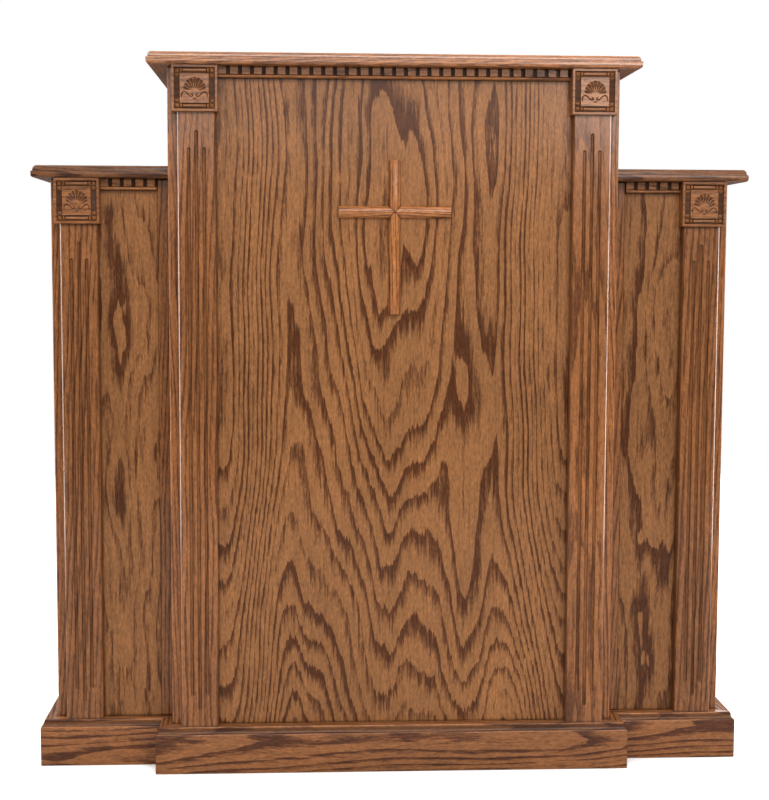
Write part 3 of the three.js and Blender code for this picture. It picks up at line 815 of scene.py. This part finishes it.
def shell_block(node, material):
    """Square block with its carved face as a fine height field."""
    low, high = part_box(node)
    half_width = (high.x - low.x) / 2 / MM
    half_height = (high.z - low.z) / 2 / MM
    steps = 184
    eased = 1.3

    def lines(half):
        """Grid lines, closer together over the eased edge."""
        fine = half - eased * (1 - np.sin(np.linspace(0, math.pi / 2, 6)))[:-1][::-1]
        inner = np.linspace(-(half - eased), half - eased, steps)
        return np.unique(np.round(np.concatenate([-fine, inner, fine, (-half, half)]), 5))

    columns = lines(half_width)
    rows = lines(half_height)
    x, z = np.meshgrid(columns, rows)
    height, painted_shade = shell_relief(x, z, half_width, half_height)
    mesh = bpy.data.meshes.new(f"{node}_carved")
    bm = bmesh.new()
    held = bm.verts.layers.float.new("cavity")
    middle_x = (low.x + high.x) / 2
    middle_z = (low.z + high.z) / 2
    face = []
    for row in range(len(rows)):
        line = []
        for column in range(len(columns)):
            y = low.y - height[row, column] * MM
            vertex = bm.verts.new((middle_x + columns[column] * MM, y, middle_z + rows[row] * MM))
            # each vertex holds the painted shade of its place
            vertex[held] = painted_shade[row, column]
            line.append(vertex)
        face.append(line)
    for below, above in zip(face, face[1:]):
        for i in range(len(below) - 1):
            bm.faces.new((below[i], below[i + 1], above[i + 1], above[i]))
    rim = face[0] + [line[-1] for line in face[1:-1]] + face[-1][::-1] + [line[0] for line in face[-2:0:-1]]
    back = [bm.verts.new((v.co.x, high.y, v.co.z)) for v in rim]
    for i in range(len(rim)):
        j = (i + 1) % len(rim)
        bm.faces.new((rim[j], rim[i], back[i], back[j]))
    bm.faces.new(back)
    bmesh.ops.recalc_face_normals(bm, faces=bm.faces)
    bm.to_mesh(mesh)
    bm.free()
    stand_for(link_mesh(f"{node}_carved", mesh), node, material, 50)


# ---------------------------------------------------------------- dentils, cross and bolts

DENTIL = {"backing": 4.5 * MM, "pitch": 19.7 * MM, "gap": 6.6 * MM, "bead": 5 * MM, "recess": 0.8 * MM}


def dentil(node, material):
    """Row of square teeth over a half-round bead."""
    low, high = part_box(node)
    pitch, tooth, bead = DENTIL["pitch"], DENTIL["pitch"] - DENTIL["gap"], DENTIL["bead"]
    between = high.y - DENTIL["backing"]
    face = low.y + DENTIL["recess"]
    foot = low.z + bead + 0.6 * MM

    def section(x, toothed):
        front = face if toothed else between
        nose = bead / 2
        points = [(high.y, low.z)]
        points += arc((low.y + nose, low.z + nose), nose, nose, 270, 90, 12)
        points += [(between, low.z + bead), (between, foot)]
        points += [(front, foot), (front, high.z), (high.y, high.z)]
        return [(x, y, z) for y, z in points]

    def tooth_side(bm, x):
        if low.x < x < high.x:
            corners = ((between, foot), (face, foot), (face, high.z), (between, high.z))
            bm.faces.new([bm.verts.new((x, y, z)) for y, z in corners])

    def shape(bm):
        start = low.x
        while start < high.x - 1 * MM:
            end = min(start + tooth, high.x)
            loft(bm, [section(start, True), section(end, True)], capped=False)
            following = min(start + pitch, high.x)
            if following > end:
                loft(bm, [section(end, False), section(following, False)], capped=False)
            tooth_side(bm, start)
            tooth_side(bm, end)
            start += pitch
        bm.faces.new([bm.verts.new(p) for p in section(low.x, True)])
        ends_toothed = (high.x - low.x) % pitch < tooth
        bm.faces.new([bm.verts.new(p) for p in section(high.x, ends_toothed)])
        # painted shade on the recessed backing between the teeth
        recessed = [v for v in bm.verts if abs(v.co.y - between) < 0.1 * MM]
        set_painted_shade_row(bm, recessed, [0.9] * len(recessed))

    obj = stand_for(mesh_object(f"{node}_toothed", shape), node, material)
    ease_edges(obj, 0.35 * MM, segments=2, angle=60)


def cross_arm(name, turn, material):
    """Half-round arm: its foot is mitred to a point and its end is eased."""
    node = f"cross_{name}_arm"
    low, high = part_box(node)
    upper_low, upper_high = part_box("cross_upper_arm")
    crossing = Vector(((upper_low.x + upper_high.x) / 2, high.y, upper_low.z - GAP))
    radius = (upper_high.x - upper_low.x) / 2
    reach = (high - crossing, low - crossing)
    length = max(abs(v) for r in reach for v in (r.x, r.z))
    sides = 32
    half_round = arc((0, 0), radius, radius, 0, -180, sides)
    ease = 0.8 * MM

    def shape(bm):
        def ring(scale, z):
            return [Vector((x * scale, y * scale, z)) for x, y in half_round] + [Vector((0, 0, z))]

        foot = [Vector((p.x, p.y, GAP + abs(p.x))) for p in ring(1, 0)]
        ends = [ring(1 - (1 - math.cos(a)) * ease / radius, length - ease * (1 - math.sin(a)))
                for a in np.radians(np.linspace(0, 90, 5))]
        above = [p + Vector((0, 0, 1.5 * MM)) for p in foot]
        rows = loft(bm, [foot, above] + ends, capped=False)
        # painted shade along the mitred foot, where the arms meet
        set_painted_shade_row(bm, rows[0], [0.7] * len(rows[0]))
        bm.faces.new(rows[-1])
        apex = sides // 2
        bm.faces.new(rows[0][: apex + 1] + [rows[0][-1]])
        bm.faces.new(rows[0][apex:])
        matrix = Matrix.Translation(crossing) @ Matrix.Rotation(math.radians(turn), 4, "Y")
        bmesh.ops.transform(bm, matrix=matrix, verts=bm.verts)

    stand_for(mesh_object(f"{node}_round", shape), node, material)


def connector_bolt(node, material):
    """Flat-headed bolt through two panels, with a hexagon socket in each head."""
    low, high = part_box(node)
    centre = (low + high) / 2
    end = (high.x - low.x) / 2
    head = (high.y - low.y) / 2
    sides = 48

    def ring(x, radius_at):
        turns = np.arange(sides) * (2 * math.pi / sides)
        return [centre + Vector((x, radius_at(t) * math.cos(t), radius_at(t) * math.sin(t))) for t in turns]

    def hexagon(turn):
        sixth = math.pi / 3
        return 2.6 * MM / math.cos((turn % sixth) - sixth / 2)

    def disc(ninths):
        """Round outline, its radius in ninths of the head's."""
        return lambda turn: ninths * head / 9

    def shape(bm):
        # from the socket's floor over the rim to the shank: each outline, and how far it lies behind the end
        half = [(hexagon, 2.2), (hexagon, 0), (disc(8.0), 0), (disc(8.7), 0.3), (disc(9.0), 1.0),
                (disc(9.0), 2.4), (disc(4.0), 2.4)]
        rings = [ring(back * MM - end, outline) for outline, back in half]
        rings += [ring(end - back * MM, outline) for outline, back in reversed(half)]
        loft(bm, rings)

    stand_for(mesh_object(f"{node}_turned", shape), node, material)


def dress_trim():
    """Everything that is carved, turned or fluted."""
    pilasters = {
        "centre_left_pilaster": (1.02, 9.0, (-95, 30)),
        "centre_right_pilaster": (1.02, 8.0, (-12, 70)),
        "left_wing_pilaster": (0.87, 8.5, (100, 35)),
        "right_wing_pilaster": (0.86, 8.0, (-85, 40)),
    }
    for node, (tone, ring, pith) in pilasters.items():
        pilaster(node, sawn_oak(node, "up", tone, ring, pith, soft=0.25))
    for node in [n for n in nodes if n.endswith("shell_block")]:
        shell_block(node, sawn_oak(node, "across", 1.05, ring=9, pith=(60, 30), soft=0.5))
    for node in ("centre_dentil", "left_wing_dentil", "right_wing_dentil"):
        dentil(node, sawn_oak(node, "across", ring=4, soft=0.3, coat=0.25))
    for name, turn in (("upper", 0), ("right", 90), ("lower", 180), ("left", -90)):
        grain = "up" if name in ("upper", "lower") else "across"
        cross_arm(name, turn, sawn_oak(f"cross_{name}_arm", grain, 1.6, ring=3.2, pith=(60, 25)))
    steel = zinc_steel()
    for node in [n for n in nodes if n.endswith("connector_bolt")]:
        connector_bolt(node, steel)


# ---------------------------------------------------------------- boards kept from the CAD

PANEL_EASE = 0.5 * MM
BOARD_EASE = 1.2 * MM
STILE_EASE = 2.4 * MM
ROUNDED_EASE = 3 * MM


def keep_board(node, material, ease=BOARD_EASE):
    """Gives a CAD board its oak, and eases its edges."""
    obj = nodes[node]
    set_material(obj, material)
    obj.modifiers.new("weld", "WELD").merge_threshold = 1e-5
    obj.data.shade_smooth()
    ease_edges(obj, ease, segments=3, angle=30)


def dress_boards():
    """Every plain board, each with an oak of its own."""
    around = ["centre_left_pilaster", "centre_right_pilaster", "centre_dentil", "centre_base_front"]
    keep_board("centre_front_panel", centre_panel_oak("centre_front_panel", around), PANEL_EASE)
    for name, _ in SIDES:
        centre_pilaster = [f"centre_{name}_pilaster", "centre_base_front"]
        wing_pilaster = [f"{name}_wing_pilaster", f"{name}_wing_base_front"]
        for part, tone, pith, beside in (
            (f"centre_{name}_corner_stile", 1.08, (60, 30), centre_pilaster),
            (f"{name}_wing_inner_stile", 0.92, (50, 30), [f"{name}_wing_base_front"]),
            (f"{name}_wing_corner_stile", 1.0, (60, 30), wing_pilaster),
        ):
            material = sawn_oak(part, "up", tone, ring=6, pith=pith, soft=0.2, beside=beside)
            keep_board(part, material, STILE_EASE)
        panel = f"{name}_wing_front_panel"
        beside = wing_pilaster + [f"{name}_wing_dentil"]
        tone = {"left": 0.97, "right": 0.86}[name]
        material = veneer_oak(
            panel, "up", tone, leaf=0.17, side=1.2, along=4.0, eye=0.25, wild=4.8, beside=beside)
        keep_board(panel, material, PANEL_EASE)
        for panel, eye, neighbour in (
            (f"centre_{name}_side_panel", 0.1, f"{name}_wing_top"),
            (f"{name}_wing_outer_panel", -0.1, f"{name}_wing_base_side"),
            (f"{name}_wing_inner_panel", 0.2, f"{name}_wing_shelf"),
        ):
            keep_board(panel, veneer_oak(panel, "up_side", leaf=0.32, eye=eye, beside=[neighbour]))
        for part in ("shelf", "floor_board"):
            board = f"{name}_wing_{part}"
            keep_board(board, veneer_oak(board, "across_flat", 1.15, leaf=0.28, along=12.0))
        rail = f"{name}_wing_toe_rail"
        keep_board(rail, sawn_oak(rail, "across", 1.1, ring=5, beside=()))
        cleat = f"desk_{name}_cleat"
        keep_board(cleat, sawn_oak(cleat, "deep", 1.15, ring=4, beside=()))
    for board in ("upper_shelf", "lower_shelf", "floor_board"):
        keep_board(board, veneer_oak(board, "across_flat", 1.15, side=4.5, eye=0.1))
    keep_board("reading_desk", veneer_oak("reading_desk", "across_flat", leaf=0.34, side=4.5, eye=-0.05))
    keep_board("toe_rail", sawn_oak("toe_rail", "across", 1.1, ring=5, beside=()))
    keep_board("book_stop", sawn_oak("book_stop", "across", ring=4.5, beside=()), ROUNDED_EASE)


# ---------------------------------------------------------------- stage, lights and camera

def stage_floor():
    """A pale floor. It is dimmer to the wood than to the camera, so that the oak keeps its colour."""
    floor = mesh_object(
        "studio_floor", lambda bm: bmesh.ops.create_grid(bm, x_segments=1, y_segments=1, size=3.4))
    g = new_material("pale_floor")
    grain = g.noise(g.add("ShaderNodeTexCoord").outputs["Object"], (3, 3, 3), detail=3)
    shader = g.add("ShaderNodeBsdfPrincipled")
    seen = g.add("ShaderNodeLightPath").outputs["Is Camera Ray"]
    pale = g.math("MULTIPLY_ADD", grain, 0.04, g.math("MULTIPLY_ADD", seen, 0.44, 0.42))
    g.plug(g.join(pale, pale, pale), shader.inputs["Base Color"])
    shader.inputs["Roughness"].default_value = 0.9
    g.plug(shader.outputs["BSDF"], g.add("ShaderNodeOutputMaterial").inputs["Surface"])
    set_material(floor, g.material)


def softbox(name, place, target, width, height, power):
    """A rectangular area light at place, facing target. Power in watts."""
    light = bpy.data.lights.new(name, "AREA")
    light.shape = "RECTANGLE"
    light.size = width
    light.size_y = height
    light.energy = power
    obj = bpy.data.objects.new(name, light)
    obj.location = place
    obj.rotation_euler = (Vector(target) - Vector(place)).to_track_quat("-Z", "Y").to_euler()
    bpy.context.scene.collection.objects.link(obj)


def light_studio():
    """White surroundings, dimmer as a light than as a backdrop, and softboxes ahead, above and beside."""
    world = bpy.data.worlds.new("studio_world")
    bpy.context.scene.world = world
    world.use_nodes = True
    g = Graph(world.node_tree)
    seen = g.add("ShaderNodeLightPath").outputs["Is Camera Ray"]
    up = g.split(g.add("ShaderNodeTexCoord").outputs["Generated"])["Z"]
    glow = g.math("MULTIPLY_ADD", g.step(up, 0.1, 0.75), 1.35, 0.12)
    background = world.node_tree.nodes["Background"]
    background.inputs["Color"].default_value = (1, 1, 1, 1)
    g.plug(g.math("MAXIMUM", glow, seen), background.inputs["Strength"])
    softbox("key_softbox", (0.2, -3.1, 3.1), (0, -0.3, 0.9), 2.6, 1.6, 99)
    softbox("low_softbox", (1.6, -3.8, 1.7), (0.3, -0.3, 1.1), 1.7, 0.7, 36)
    softbox("far_softbox", (-0.5, -3.9, 1.6), (-0.2, -0.3, 1.1), 2.4, 0.6, 19)
    softbox("left_softbox", (-2.4, -0.1, 1.0), (-0.5, -0.2, 0.8), 0.45, 2.2, 52)
    softbox("right_softbox", (2.4, 0.12, 1.0), (0.5, -0.2, 0.8), 0.45, 2.2, 56)
    softbox("back_softbox", (0.5, 3.8, 2.4), (0, 0.3, 0.7), 2.8, 1.6, 85)
    view = bpy.context.scene.view_settings
    view.view_transform = "Standard"
    view.look = "None"


def place_camera():
    """A 69 mm lens a little left of the middle, at the height of the cross's foot, looking slightly down."""
    camera = bpy.data.cameras.new("camera")
    camera.lens = 69.19
    camera.sensor_width = 36
    camera.clip_end = 200
    obj = bpy.data.objects.new("camera", camera)
    heading, down, roll = 0.05238, 0.08857, 0.00364
    turn = Matrix.Rotation(-heading, 3, "Z") @ Matrix.Rotation(math.pi / 2 - down, 3, "X")
    obj.matrix_world = (turn @ Matrix.Rotation(roll, 3, "Z")).to_4x4()
    obj.location = (-0.1527, -2.8797, 0.8726)
    bpy.context.scene.collection.objects.link(obj)
    bpy.context.scene.camera = obj


dress_boards()
base_boards()
top_rails()
for name, side in SIDES:
    wing_top(name, side)
dress_trim()
stage_floor()
light_studio()
place_camera()
